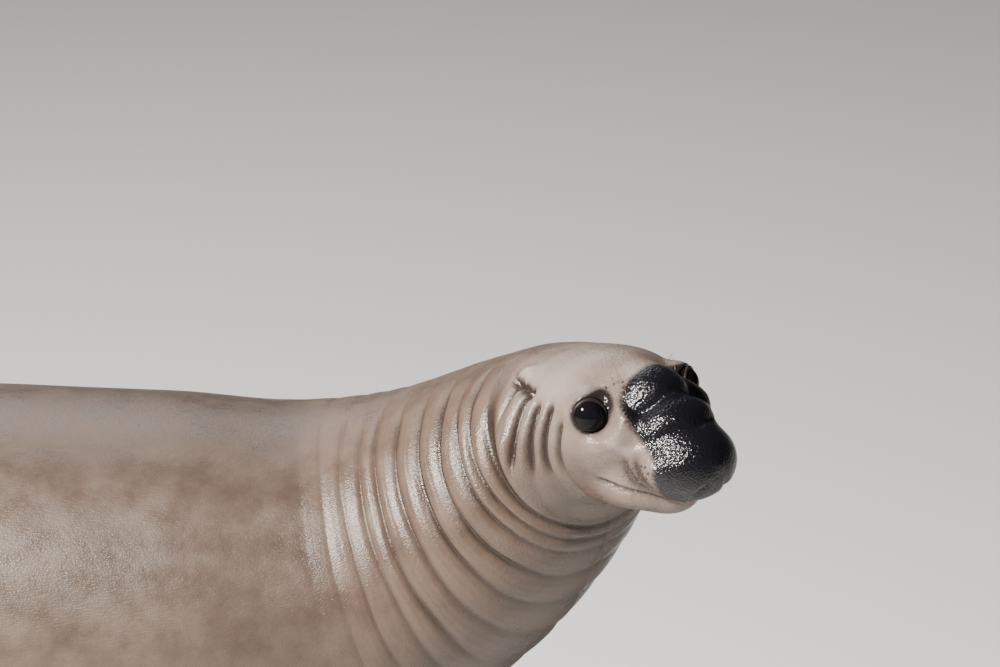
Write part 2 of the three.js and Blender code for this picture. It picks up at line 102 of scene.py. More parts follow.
def axes_at(s):
    """Unit vectors ahead, to the left and up, one row for each place along the spine. The way ahead has
    the pitch and the yaw that the neck and the head have there."""
    levelled = smooth(*NECK_LEVELS, s)
    pitch = NECK_PITCH * (smooth(*NECK_RISES, s) - levelled) + HEAD_PITCH * levelled
    yaw = HEAD_YAW * smooth(*NECK_TURNS, s)
    ahead = np.stack([np.cos(pitch) * np.cos(yaw), -np.cos(pitch) * np.sin(yaw), np.sin(pitch)], -1)
    left = np.stack([np.sin(yaw), np.cos(yaw), 0 * yaw], -1)
    return ahead, left, np.cross(ahead, left)


# The spine is a running sum of short steps, each in the way ahead at its middle.
SPINE_STEP, SPINE_LENGTH = 5, 3900
SPINE_AT = np.arange(0, SPINE_LENGTH + 1, SPINE_STEP)
spine_steps = axes_at(SPINE_AT[:-1] + SPINE_STEP / 2)[0] * SPINE_STEP
SPINE = np.array((TAIL_X, 0, SPINE_HEIGHT)) + np.vstack([(0, 0, 0), np.cumsum(spine_steps, 0)])


def spine_point(s):
    """The point between the nearest steps of the spine, lowered towards the tail by the square of the
    share of TAIL_DROP_ENDS that is left."""
    point = np.stack([np.interp(s, SPINE_AT, SPINE[:, k]) for k in range(3)], -1)
    point[..., 2] -= TAIL_DROP * np.maximum(0, 1 - s / TAIL_DROP_ENDS) ** 2
    return point


HEAD_AXES = np.stack(axes_at(np.array(float(EYES_AT))))
HEAD_POINT = spine_point(np.array(float(EYES_AT))) + HEAD_AXES[2] * EYE_ABOVE_SPINE


def head_to_world(points):
    """Points given forward, left and up from between the eyes, as points of the world."""
    return HEAD_POINT + np.asarray(points, float) @ HEAD_AXES


def world_to_head(points):
    """Points of the world as forward, left and up from between the eyes."""
    return (points - HEAD_POINT) @ HEAD_AXES.T


# Each mass: centre and radii as forward, to the side and up from between the eyes, and its softness.
MASSES = [
    ((-62, 76, -52), (112, 72, 88), 40),
    ((-22, 101, -8), (44, 37, 38), 20),
    ((28, 86, -18), (52, 34, 38), 34),
    ((58, 0, -58), (118, 88, 70), 34),
    ((104, 50, -84), (64, 50, 46), 16),
    ((0, 46, -136), (100, 52, 54), 26),
    ((62, 0, -152), (72, 60, 46), 22),
    ((26, 0, 5), (78, 72, 64), 12),
    ((96, 0, -28), (57, 78, 54), 12),
    ((130, 0, -86), (82, 88, 70), 16),
]
# No ray of the head is longer than this, and this many halvings find its end to about a thousandth.
LONGEST_RAY, HALVINGS = 330.0, 18


def blend(a, b, soft):
    """The smaller of two distances, less h² times soft over 4 where they are nearly alike, h being 1
    where they are the same and 0 where they differ by soft. It rounds the corner between two masses."""
    h = np.maximum(soft - np.abs(a - b), 0) / soft
    return np.minimum(a, b) - h * h * soft / 4


def from_mass(place, size, f, side, u):
    """The rough distance to an ellipsoid that lies on both sides of the head: with n the length of the
    offset over the radii, n times (n - 1), over the length of the offset over the radii squared."""
    p = np.stack([f - place[0], np.abs(side) - place[1], u - place[2]], -1)
    near = np.linalg.norm(p / size, axis=-1)
    slope = np.linalg.norm(p / np.square(size), axis=-1)
    return near * (near - 1) / np.maximum(slope, 1e-9)


def section_middle(s):
    """How far above the spine a section has its middle: half its reach above less half its reach below,
    and on the nose the nose's own axis."""
    trunk_middle = (reach_up(s) - reach_down(s)) / 2
    return trunk_middle + (NOSE_AXIS + EYE_ABOVE_SPINE - trunk_middle) * smooth(3450, 3740, s)


def trunk_radius(s, angle):
    """The reach of an ellipse from its middle, at an angle from straight up."""
    high = (reach_up(s) + reach_down(s)) / 2
    return 1 / np.hypot(np.sin(angle) / half_width(s), np.cos(angle) / high)


def head_radius(s, angle):
    """Where each ray leaves the blended masses, found by halving."""
    forward, trunk, middle = s - EYES_AT, trunk_radius(s, angle), section_middle(s)
    inside, outside = np.zeros_like(trunk), np.full_like(trunk, LONGEST_RAY)
    for _ in range(HALVINGS):
        half = (inside + outside) / 2
        side, up = half * np.sin(angle), middle - EYE_ABOVE_SPINE + half * np.cos(angle)
        depth = half - trunk
        for place, size, soft in MASSES:
            depth = blend(depth, from_mass(place, np.array(size, float), forward, side, up), soft)
        inside, outside = np.where(depth < 0, half, inside), np.where(depth < 0, outside, half)
    return inside


def wander(a, b, seed):
    """A soft wavy pattern, mostly between -1 and 1: a third of the sum of five sines with their own
    slants, lengths and starts."""
    r = np.random.default_rng(seed)
    waves = [np.sin(a * r.uniform(0.6, 2.2) + b * r.uniform(-2.5, 2.5) + r.uniform(0, 6.3)) for _ in range(5)]
    return sum(waves) / 3


# Where the rounded masses take over from the plain sections of the trunk.
HEAD_FORMS_FROM = 3400
# Points in a ring, and the lengths over which the tail and the nose close to a round end.
AROUND, TAIL_END, NOSE_END = 200, 40, 92


def ring_places():
    """Places of the rings along the spine, closest together on the folds of the neck, on the head and
    at both round ends, where they follow a cosine and a sine."""
    front = EYES_AT + NOSE_TIP - NOSE_END
    return np.concatenate([
        60 * (1 - np.cos(np.linspace(0.08, pi / 2, 11)[:-1])),
        np.linspace(60, 400, 24)[:-1],
        np.linspace(400, 2760, 88)[:-1],
        np.linspace(2760, 3390, 172)[:-1],
        np.linspace(3390, front, 104)[:-1],
        front + NOSE_END * np.sin(np.linspace(0, pi / 2, 46)[:-1]),
    ])


# Places of the grooves across the neck, their depth, and where they fade out behind the ears.
NECK_FOLDS, FOLD_DEPTH = (2800, 2860, 2920, 2980, 3030, 3100, 3175, 3245, 3305, 3340, 3380), 11
FOLDS_END = (3385, 3415)


def neck_folds(s, angle):
    """Depth of the grooves across the neck, and the painted shade inside them, each a power of the
    nearness to a groove, counted in spacings. They wander round the body, start near the top of the back
    and lower towards the head, with rounded cushions of skin between them."""
    bent = s + 6 * wander(s / 110, angle * 0.9, 3) + 2 * wander(s / 30, angle * 4, 4)
    phase = np.interp(bent, NECK_FOLDS, np.arange(len(NECK_FOLDS)))
    from_groove = 2 * np.abs(phase - np.round(phase))
    low = (1 - np.cos(angle)) / 2
    start = np.interp(s, (2860, 3100, 3380), (0.003, 0.025, 0.1)) * (1 + 0.5 * np.sin(2.6 * np.round(phase)))
    fade = 1 - smooth(*FOLDS_END, s)
    share = smooth(NECK_FOLDS[0] - 30, NECK_FOLDS[5], s) * fade
    share = (0.1 + 0.9 * share) * smooth(NECK_FOLDS[0] - 60, NECK_FOLDS[0], s) * fade
    share = share * (0.7 + 0.4 * smooth(2860, 3250, s)) * (0.06 + 0.94 * smooth(0.3 * start, 3 * start, low))
    share = share * (1 - 0.5 * smooth(0.6, 0.95, low)) * (0.8 - 0.2 * np.sin(angle))
    share = share * (0.9 + 0.2 * wander(s / 45, angle * 2.2, 5))
    cushion = (1 - from_groove) ** 2.3
    small = (0.5 + 0.5 * np.cos(2 * pi * (bent + 5 * wander(s / 25, angle * 4, 6)) / 17)) ** 1.5
    return share * (cushion + 0.07 * small), share * (1 - from_groove) ** 5


def mirrored(points):
    """Points of the head as they lie on its left side, because both sides have the same forms."""
    return np.stack([points[..., 0], np.abs(points[..., 1]), points[..., 2]], -1)


# Folds of the face behind the eye: place behind the eyes, depth, half width and the height they start at.
FACE_FOLDS = ((52, 9, 6, -14), (84, 14, 7, 6), (114, 14, 8, 2), (150, 14, 8, 14), (190, 7, 8, 20))
WRINKLE_SPACING, WRINKLE_DEPTH = 11, 1.1


def face_folds(local, from_eye, s):
    """Depth of the folds that run down from the ear and behind the eye. Each is its own depth times e to
    the minus (distance over half width) to the power 1.5, below the height where it starts. A cosine
    makes the fine wrinkles between them."""
    f, u = local[..., 0], local[..., 2]
    place = -f + 3.5 * wander(u / 50, f / 90, 8) + 0.8 * wander(u / 18, f / 40, 12)
    depth = 0 * s
    for at, deep, half_wide, top in FACE_FOLDS:
        fold = np.exp(-np.abs((place - at) / half_wide) ** 1.5)
        depth = depth + deep * fold * smooth(top + 12, top - 16, u)
    wave = np.cos(2 * pi * (place + 3 * wander(u / 40, f / 60, 15)) / WRINKLE_SPACING)
    depth = depth + WRINKLE_DEPTH * (0.5 + 0.5 * wave) ** 1.6 * smooth(36, 60, place) * smooth(24, -4, u)
    return depth * smooth(48, 66, from_eye) * (1 - 0.8 * smooth(-90, -150, u)) * smooth(3395, 3425, s)


EYE_PLACE, EYE_RADIUS = np.array((-13, 109, -3.0)), 34
EYE_AXIS = np.array((0.82, 0.54, 0.18)) / np.linalg.norm((0.82, 0.54, 0.18))
# The way from the eye to its drawn-out corner, and how far the dark rim is drawn out there.
EYE_CORNER, CORNER_REACH = np.array((0.27, -0.64, 0.72)), 17
# Thin folds under the eye: distance from its axis and depth.
THIN_FOLDS, THIN_FOLD_WIDTH = ((46, 2.4), (53, 2.0), (60, 1.4)), 1.9
# The edge of the lids from the eye's axis, the mound's height there, its fall outside and its dip inside.
LID_EDGE, MOUND_HEIGHT, MOUND_FALL, MOUND_DIP = 27, 15, 0.018, 10


def about_eye(points):
    """The offset of points from the middle of the eye, its share along the eye's axis, and the distance
    from that axis."""
    offset = points - EYE_PLACE
    along = offset @ EYE_AXIS
    return offset, along, np.linalg.norm(offset - along[..., None] * EYE_AXIS, axis=-1)


def eye_surround(points):
    """Depth of the skin round the eye, the nearness to its corner and the distance from its dark rim.
    The corner is the cosine of the angle from its way, to the power 7, and has a shallow dip before it.
    The thin folds are rings about the eye's axis, below and behind the eye."""
    offset, along, from_axis = about_eye(points)
    from_axis = np.where(along > -10, from_axis, 200)
    corner = np.clip(offset @ EYE_CORNER / np.maximum(from_axis, 1), 0, 1) ** 7
    behind = np.maximum(smooth(6, -14, offset[..., 2]), smooth(4, -20, offset[..., 0]))
    thin = sum(deep * hump(from_axis - at, THIN_FOLD_WIDTH) for at, deep in THIN_FOLDS)
    depth = 3 * corner * hump(from_axis - 42, 9) + thin * behind * (1 - corner)
    return depth, corner, from_axis - CORNER_REACH * corner


def raised_lids(points, corner, on_head):
    """The points with those round each eye moved along its axis. The skin rises in a low mound, a
    parabola of the distance from the axis, to the edge of the lids, and dips inside them."""
    local = world_to_head(points)
    offset, along, from_axis = about_eye(mirrored(local))
    outside = np.maximum(from_axis - LID_EDGE, 0)
    level = MOUND_HEIGHT - MOUND_DIP * (1 - smooth(14, LID_EDGE, from_axis)) - MOUND_FALL * outside ** 2
    level = level - 5 * corner * (from_axis > LID_EDGE)
    brow = smooth(0.2, 0.9, offset[..., 2] / np.maximum(from_axis, 1)) * smooth(LID_EDGE, 36, from_axis)
    level = level + 4 * brow * (1 - corner)
    press = (1 - smooth(30, 52, from_axis)) * smooth(-28, -10, along) * on_head
    moved = (along - level) * press
    way = EYE_AXIS * np.stack([1 + 0 * moved, np.sign(local[..., 1]), 1 + 0 * moved], -1)
    return head_to_world(local - moved[..., None] * way)


# The ear has a round swelling, and a slit that runs behind and under it.
EAR_SWELLING, EAR_SWELLING_AT, EAR_SWELLING_WIDTH = 12, np.array((-184, 104, 30.0)), 21
EAR_SLIT_DEPTH = 13
EAR_SLIT = np.array([(-216, 103, 28), (-197, 121, 16), (-172, 129, 15), (-146, 133, 10)], float)


def from_path(points, path):
    """The distance of each point from a line through the path's points, and how far along the path it is,
    counted in stretches."""
    nearest, place = np.full(points.shape[:-1], 1e9), np.zeros(points.shape[:-1])
    for i, (a, b) in enumerate(zip(path[:-1], path[1:])):
        share = np.clip((points - a) @ (b - a) / ((b - a) @ (b - a)), 0, 1)
        gap = np.linalg.norm(points - a - share[..., None] * (b - a), axis=-1)
        place = np.where(gap < nearest, i + share, place)
        nearest = np.minimum(gap, nearest)
    return nearest, place


def ear_forms(local):
    """The ear's swelling, a hump that is a fifth as high on the left side, and its slit, a hump about its
    path whose width goes up and down as a sine."""
    points = mirrored(local)
    swelling = hump(np.linalg.norm(points - EAR_SWELLING_AT, axis=-1), EAR_SWELLING_WIDTH)
    swelling = swelling * (1 - 0.8 * smooth(-20, 20, local[..., 1]))
    from_slit, along = from_path(points, EAR_SLIT)
    width = 5.5 + 3.5 * smooth(0.8, 1.3, along) + 1.5 * np.sin(9 * along)
    return swelling, hump(from_slit, width) * (0.35 + 0.65 * smooth(0.5, 1.1, along))


CREASE_DEPTH, SOFT_DIP_DEPTH = 6, 4


def nose_creases(local, s):
    """Two creases over the top of the nose, which fade on its sides: narrow humps in wide soft dips, about
    two slanting planes that wander a little."""
    f, side, u = local[..., 0], np.abs(local[..., 1]), local[..., 2]
    first = 0.894 * (f - 80) - 0.447 * (u - 18) + 2.5 * wander(side / 30, s / 50, 31)
    second = 0.8 * (f - 151 + 0.28 * side) - 0.6 * (u + 18) + 2 * wander(side / 25, s / 50, 32)
    over, in_front = 1 - smooth(38, 78, side), f > 90
    crease = hump(first, 3.6) + 0.7 * hump(second, 3.2) * in_front
    soft_dip = hump(first, 13) + 0.6 * hump(second, 12) * in_front
    return over * crease, over * soft_dip


NOSTRIL_DEPTH, NOSTRIL_AT, NOSTRIL_SIZE = 14, np.array((190, 30, -122.0)), np.array((34, 8, 17.0))


def nostril_slot(points):
    """A hump about the middle of the nostril, longest forward, that slants outwards as it goes down."""
    offset = points - NOSTRIL_AT
    slanted = np.stack([offset[..., 0], offset[..., 1] + offset[..., 2] * 0.5, offset[..., 2]], -1)
    return hump(np.linalg.norm(slanted / NOSTRIL_SIZE, axis=-1), 1) * smooth(120, 150, points[..., 0])


# The line of the lips, forward and up, and the groove along it.
LIPS = np.array([(4, -124), (45, -134), (90, -140), (126, -150), (146, -190), (260, -210)], float)
MOUTH_DEPTH, MOUTH_HALF_WIDTH = 8, 4.5
# The cheek swells a little between the eye and the lip.
CHEEK_SWELLING, CHEEK_AT, CHEEK_WIDTH, CHEEK_SHAPE = 7, np.array((52, 102, -50.0)), 30, (1.1, 1, 0.8)
# The shoulder swells where each fore flipper leaves the body: place, angle from the top, length and width.
SHOULDER_SWELLING, SHOULDER_AT, SHOULDER_ANGLE, SHOULDER_LENGTH, SHOULDER_WIDTH = 50, 2445, 2.05, 120, 88
WHISKER_PAD_AT, WHISKER_PAD_SIZE = (92, 82, -95), (48, 44, 37)
TEMPLE_AT, TEMPLE_SIZE = (-118, 116, 20), (66, 44, 36)


def skin_shape():
    """Points of the skin in rings, the colour masks, and the way its hair lies. Each ray starts in the
    middle of its section and is as long as the bare body there, less the depth of every groove, plus
    every swelling. The hair lies along the spine."""
    s, angle = np.meshgrid(ring_places(), np.arange(AROUND) * 2 * pi / AROUND + pi, indexing="ij")
    on_head = s > HEAD_FORMS_FROM
    tail_round = np.where(s < TAIL_END, np.clip(1 - (1 - s / TAIL_END) ** 2, 0.0004, 1), 1)
    bare = trunk_radius(s, angle) * np.sqrt(tail_round)
    rows = on_head[:, 0]
    bare[rows] = head_radius(s[rows], angle[rows])
    _, left, up = axes_at(s)
    ray = np.sin(angle)[..., None] * left + np.cos(angle)[..., None] * up
    centre = spine_point(s) + section_middle(s)[..., None] * up
    local = world_to_head(centre + bare[..., None] * ray)
    one_side = mirrored(local)
    f, side, u = one_side[..., 0], one_side[..., 1], one_side[..., 2]

    groove, groove_shade = neck_folds(s, angle)
    from_eye = np.linalg.norm(one_side - (EYE_PLACE + EYE_AXIS * 24), axis=-1)
    face = face_folds(local, from_eye, s)
    by_eye, corner, from_rim = eye_surround(one_side)
    swelling, slit = ear_forms(local)
    slit = slit * on_head
    cheek = hump(np.linalg.norm((one_side - CHEEK_AT) / CHEEK_SHAPE, axis=-1), CHEEK_WIDTH)
    lip = np.interp(f, LIPS[:, 0], LIPS[:, 1])
    mouth = hump(u - lip + 2, MOUTH_HALF_WIDTH) * smooth(-8, 12, f) * on_head
    crease, soft_dip = (on_head * part for part in nose_creases(local, s))
    nostril = nostril_slot(one_side)
    from_side = (np.arccos(np.cos(angle)) - SHOULDER_ANGLE) * bare
    shoulder = hump(s - SHOULDER_AT, SHOULDER_LENGTH) * hump(from_side, SHOULDER_WIDTH)

    radius = bare - FOLD_DEPTH * groove - face - by_eye * on_head
    radius = radius + EAR_SWELLING * swelling - EAR_SLIT_DEPTH * slit + CHEEK_SWELLING * cheek
    radius = radius - MOUTH_DEPTH * mouth - CREASE_DEPTH * crease - SOFT_DIP_DEPTH * soft_dip
    radius = radius - NOSTRIL_DEPTH * nostril + SHOULDER_SWELLING * shoulder
    # Slight unevenness of the whole hide.
    radius = radius + wander(s / 150, angle * 1.2, 11) * np.clip(bare / 130, 0, 2.5)
    points = raised_lids(centre + radius[..., None] * ray, corner, on_head)

    # The black of the nose ends at a slanting plane over it, and above the lip. Its mask is one half at
    # that line and goes from 0 to 1 over 50 mm.
    edge = 0.71 * (f - 14) + 0.7 * (u - 42) - 26 * np.clip(1 - (side / 67) ** 2, 0, 1)
    edge = np.maximum(edge, f - 130) - 0.4 * np.maximum(side - 70, 0) + 4 * wander(f / 30, angle * 4, 21)
    above_lip = np.maximum((u - lip - 6) * 0.8, 1.5 * (f - 138))
    nose = np.clip(0.5 + np.minimum(edge, above_lip) / 50, 0, 1) * (f > -40)
    # The lids have a dark rim. The folds, the mouth, the ear and the nostril get painted shade inside.
    rim = np.clip(1.2 * hump(np.maximum(from_rim - 32, 0), 4.5), 0, 1) * on_head
    fold_shade = 1.5 * np.clip(face / 10, 0, 2) ** 1.6 + 0.9 * crease
    neck_groove_shade = (1.2 + 0.7 * smooth(3100, 3300, s)) * groove_shade
    deep = np.clip(neck_groove_shade + fold_shade + mouth + 2.4 * slit + nostril, 0, 1)
    # The whiskers grow from a dark pad. A painted highlight in broken patches lightens the temple, the ear's
    # swelling and the cheek, which are also the wettest.
    pad = 1.1 * np.exp(-(np.linalg.norm((one_side - WHISKER_PAD_AT) / WHISKER_PAD_SIZE, axis=-1) ** 4))
    pad = np.clip(pad * (0.8 + 0.4 * wander(f / 9, u / 9, 41)), 0, 1)
    temple = hump(np.linalg.norm((one_side - TEMPLE_AT) / TEMPLE_SIZE, axis=-1), 1)
    highlight_patches = np.clip(0.6 + 1.2 * wander(f / 14, u / 11, 43), 0, 1.2)
    painted_highlight = np.clip(temple * 0.7 + swelling + 0.8 * cheek * highlight_patches, 0, 1) * on_head
    wet = np.clip(swelling + cheek + 0.5 * temple, 0, 1) * on_head
    # The neck is browner, and so are the cheek and the throat below the eye.
    neck = smooth(2760, 2900, s) * (1 - smooth(3350, 3480, s))
    folded = np.maximum(neck, 0.75 * smooth(-40, -85, u) * smooth(40, -30, f) * on_head)
    masks = {"nose": nose, "rim": rim, "deep": deep, "below": smooth(0.1, 0.95, (1 - np.cos(angle)) / 2),
             "ahead": smooth(2900, 3480, s), "folded": folded, "pad": pad, "painted_highlight": painted_highlight, "wet": wet}
    flow = np.stack([s * MM, (angle - 2 * pi) * np.clip(bare, 20, 330) * MM, 0 * s], -1)
    return points, masks, flow


def enclosed(points, tris):
    """Six times the volume inside triangles: the sum of each first corner along the cross product of the
    other two. It is negative where the faces point inwards."""
    return np.einsum("ij,ij->i", points[tris[:, 0]], np.cross(points[tris[:, 1]], points[tris[:, 2]])).sum()


def tube_mesh(name, grid, start=None, end=None):
    """A closed mesh through rings of points in millimetres, with a fan of triangles to a point at each
    end. All faces are turned round where the volume they enclose comes out negative."""
    rows, around = grid.shape[:2]
    start = grid[0].mean(0) if start is None else start
    end = grid[-1].mean(0) if end is None else end
    points = np.vstack([grid.reshape(-1, 3), start, end]) * MM
    r, c = np.meshgrid(np.arange(rows - 1), np.arange(around), indexing="ij")
    a, b = r * around + c, r * around + (c + 1) % around
    quads = np.stack([a, a + around, b + around, b], -1).reshape(-1, 4)
    i, j = np.arange(around), (np.arange(around) + 1) % around
    last = (rows - 1) * around
    first_cap = np.stack([0 * i + rows * around, i, j], -1)
    last_cap = np.stack([0 * i + rows * around + 1, last + j, last + i], -1)
    tris = np.vstack([quads[:, :3], quads[:, [0, 2, 3]], first_cap, last_cap])
    turn = -1 if enclosed(points, tris) < 0 else 1
    faces = [face for part in (quads, first_cap, last_cap) for face in part[:, ::turn].tolist()]
    mesh = bpy.data.meshes.new(name)
    mesh.from_pydata(points.tolist(), [], faces)
    mesh.shade_smooth()
    return mesh


def add_masks(mesh, masks, flow):
    """Each mask becomes a value at every point, and the points that close the ends take the mean of their
    nearest ring."""
    for name, values in masks.items():
        full = np.r_[values.ravel(), values[0].mean(), values[-1].mean()]
        mesh.attributes.new(name, "FLOAT", "POINT").data.foreach_set("value", full)
    full = np.vstack([flow.reshape(-1, 3), flow[0].mean(0), flow[-1].mean(0)])
    mesh.attributes.new("flow", "FLOAT_VECTOR", "POINT").data.foreach_set("vector", full.ravel())


def new_material(name):
    """A material with its nodes, its links and its shader."""
    material = bpy.data.materials.new(name)
    material.use_nodes = True
    nodes, links = material.node_tree.nodes, material.node_tree.links
    return material, nodes, links, nodes["Principled BSDF"]


def put(nodes, kind, settings=None, **inputs):
    """A node with its properties and its unlinked inputs set."""
    node = nodes.new(kind)
    for key, value in (settings or {}).items():
        setattr(node, key, value)
    for key, value in inputs.items():
        node.inputs[key.replace("_", " ")].default_value = value
    return node


def grain_group():
    """The grain of the hide: small pebbles, which are the distance to the nearest of scattered points,
    short flat hair, which is noise stretched along the body, and broad mottling of the colour."""
    group = bpy.data.node_groups.new("hide_grain", "ShaderNodeTree")
    group.interface.new_socket("Vector", in_out="INPUT", socket_type="NodeSocketVector")
    group.interface.new_socket("Flow", in_out="INPUT", socket_type="NodeSocketVector")
    for name in ("Pebbles", "Hair", "Mottle"):
        group.interface.new_socket(name, in_out="OUTPUT", socket_type="NodeSocketFloat")
    nodes, links = group.nodes, group.links
    inside, outside = nodes.new("NodeGroupInput"), nodes.new("NodeGroupOutput")
    pebbles = put(nodes, "ShaderNodeTexVoronoi", {"feature": "SMOOTH_F1"}, Scale=235.0, Smoothness=0.5)
    # A hair is about 14 mm long and 2.2 mm from the next one.
    stretch = put(nodes, "ShaderNodeMapping", {"vector_type": "TEXTURE"}, Scale=(0.014, 0.0022, 1.0))
    hair = put(nodes, "ShaderNodeTexNoise", Scale=1.0, Detail=4.0, Roughness=0.62)
    mottle = put(nodes, "ShaderNodeTexNoise", Scale=13.0, Detail=7.0, Roughness=0.62)
    links.new(inside.outputs["Vector"], pebbles.inputs["Vector"])
    links.new(inside.outputs["Flow"], stretch.inputs["Vector"])
    links.new(stretch.outputs["Vector"], hair.inputs["Vector"])
    links.new(inside.outputs["Vector"], mottle.inputs["Vector"])
    links.new(pebbles.outputs["Distance"], outside.inputs["Pebbles"])
    links.new(hair.outputs["Fac"], outside.inputs["Hair"])
    links.new(mottle.outputs["Fac"], outside.inputs["Mottle"])
    return group


CROWN_COLOUR = (0.128, 0.096, 0.08, 1)
NECK_COLOUR = (0.078, 0.052, 0.039, 1)
BACK_COLOUR = (0.056, 0.039, 0.03, 1)
BELLY_COLOUR = (0.088, 0.063, 0.046, 1)
# The colour of the painted highlight on the temple, the ear and the cheek.
HIGHLIGHT_COLOUR = (0.19, 0.153, 0.137, 1)
PAD_COLOUR = (0.03, 0.02, 0.017, 1)
NOSE_COLOUR = (0.0035, 0.0032, 0.0045, 1)
RIM_COLOUR = (0.012, 0.009, 0.009, 1)
# The colour of the painted shade inside grooves, folds and other recesses.
RECESS_SHADE_COLOUR = (0.02, 0.013, 0.01, 1)
WET_SKIN_IOR, GRAIN_HEIGHT = 1.4, 0.0011


def hide_material():
    """Wet hide. The colours are mixed over each other by the masks, and mottled in brightness. The
    roughness follows the mottling and is lowest where the hide is wettest. The pebbles stand highest on
    the nose, and the hair lies over everything."""
    material, nodes, links, shader = new_material("hide")

    def mask(name):
        """One of the skin's colour masks."""
        return put(nodes, "ShaderNodeAttribute", {"attribute_name": name}).outputs["Fac"]

    def feed(sockets, values):
        """Link each value that comes from a node, and set each plain one."""
        for socket, value in zip(sockets, values):
            if isinstance(value, bpy.types.NodeSocket):
                links.new(value, socket)
            else:
                socket.default_value = value

    def math(kind, *values):
        """A sum, a product or the like of two values, or a product of two plus a third."""
        node = put(nodes, "ShaderNodeMath", {"operation": kind})
        feed(node.inputs, values)
        return node.outputs[0]

    def mix(factor, under, over):
        """The colour under, covered by the one over by this factor."""
        node = put(nodes, "ShaderNodeMix", {"data_type": "RGBA"})
        feed((node.inputs[0], node.inputs[6], node.inputs[7]), (factor, under, over))
        return node.outputs[2]

    grain = put(nodes, "ShaderNodeGroup", {"node_tree": grain_group()})
    links.new(put(nodes, "ShaderNodeTexCoord").outputs["Object"], grain.inputs["Vector"])
    flow = put(nodes, "ShaderNodeAttribute", {"attribute_name": "flow"})
    links.new(flow.outputs["Vector"], grain.inputs["Flow"])
    pebbles, hair, mottle = (grain.outputs[name] for name in ("Pebbles", "Hair", "Mottle"))
    ahead = mask("ahead")

    # The edge of the black nose is speckled by the pebbles.
    speckled = math("ADD", mask("nose"), math("MULTIPLY_ADD", pebbles, -0.16, 0.06))
    easy = {"interpolation_type": "SMOOTHSTEP"}
    edge = put(nodes, "ShaderNodeMapRange", easy, From_Min=0.36, From_Max=0.66)
    links.new(speckled, edge.inputs["Value"])
    nose = edge.outputs["Result"]

    colour = mix(mask("below"), BACK_COLOUR, BELLY_COLOUR)
    colour = mix(ahead, colour, CROWN_COLOUR)
    colour = mix(mask("folded"), colour, NECK_COLOUR)
    mottled = put(nodes, "ShaderNodeHueSaturation")
    links.new(colour, mottled.inputs["Color"])
    links.new(math("MULTIPLY_ADD", mottle, 1.1, 0.42), mottled.inputs["Value"])
    # Painted highlight on the temple, the ear's swelling and the cheek.
    colour = mix(mask("painted_highlight"), mottled.outputs["Color"], HIGHLIGHT_COLOUR)
    colour = mix(mask("pad"), colour, PAD_COLOUR)
    # Painted shade in the grooves, the folds, the mouth, the ear slit and the nostril, and between the
    # flipper's fingers.
    colour = mix(mask("deep"), colour, RECESS_SHADE_COLOUR)
    colour = mix(nose, colour, NOSE_COLOUR)
    colour = mix(mask("rim"), colour, RIM_COLOUR)
    links.new(colour, shader.inputs["Base Color"])

    rough = math("MULTIPLY_ADD", mottle, 0.8, -0.06)
    rough = math("MAXIMUM", math("SUBTRACT", rough, math("MULTIPLY", nose, 0.16)), 0.17)
    rough = math("MAXIMUM", math("SUBTRACT", rough, math("MULTIPLY", ahead, 0.06)), 0.15)
    rough = math("MULTIPLY", rough, math("MULTIPLY_ADD", mask("rim"), -0.7, 1.0))
    rough = math("MULTIPLY", rough, math("MULTIPLY_ADD", mask("wet"), -0.5, 1.0))
    links.new(rough, shader.inputs["Roughness"])
    shader.inputs["IOR"].default_value = WET_SKIN_IOR

    pebble_height = math("ADD", math("MULTIPLY_ADD", nose, 0.62, 0.22), math("MULTIPLY", ahead, 0.3))
    height = math("ADD", math("MULTIPLY", hair, 0.75), math("MULTIPLY", pebbles, pebble_height))
    bump = put(nodes, "ShaderNodeBump", Strength=1.0, Distance=GRAIN_HEIGHT)
    links.new(height, bump.inputs["Height"])
    links.new(bump.outputs["Normal"], shader.inputs["Normal"])
    return material


def piece(name, mesh, material, slot_name, *nodes):
    """A named piece that rides on the body and stands for these nodes of the solids."""
    obj = bpy.data.objects.new(name, mesh)
    bpy.context.scene.collection.objects.link(obj)
    mesh.materials.append(material)
    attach(obj, "root")
    if nodes:
        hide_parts(*nodes)


HIDE = hide_material()
points, masks, flow = skin_shape()
tip = head_to_world((NOSE_TIP, 0, NOSE_AXIS))
skin_mesh = tube_mesh("skin", points, spine_point(np.array(0.0)), tip)
add_masks(skin_mesh, masks, flow)
piece("skin", skin_mesh, HIDE, "skin", "head", "lower_jaw", "nose", "neck", "torso", "hips", "tail")

# FLIPPERS
# Four flat limbs of bone and gristle in the same wet hide, which grow out of the body. The fore ones are
# short blades swept back, and the hind ones upright fans with two long outer lobes. Their lobes are those
# of the solids on finer rings, and their roots run on into the body.
FORE = dict(
    length=400, root=70, fingers=5, bend=-46, sweep=-30,
    chord=lambda v: 92 - 10 * smooth(0, 0.25, v) + 14 * smooth(0.25, 0.8, v) - 30 * smooth(0.8, 1, v),
    thick=lambda v: 34 - 22 * smooth(0, 0.8, v),
    tip=lambda share: 0.86 + 0.11 * share,
)
HIND = dict(
    length=500, root=60, fingers=5, bend=28, sweep=0,
    chord=lambda v: 62 - 4 * smooth(0, 0.2, v) + 128 * smooth(0.1, 1, v) ** 1.2,
    thick=lambda v: 42 - 30 * smooth(0, 0.6, v),
    tip=lambda share: 0.72 + 0.24 * np.abs(share) ** 1.5,
)
# Where the flippers leave the body, and the way they point: ahead, outwards and up.
FORE_AT, FORE_ANGLE, FORE_WAY = np.array(2470.0), 2.03, (-0.66, 0.6, -0.42)
HIND_AT, HIND_OUT, HIND_WAY = np.array(232.0), 62, (-1, 0.24, -0.04)
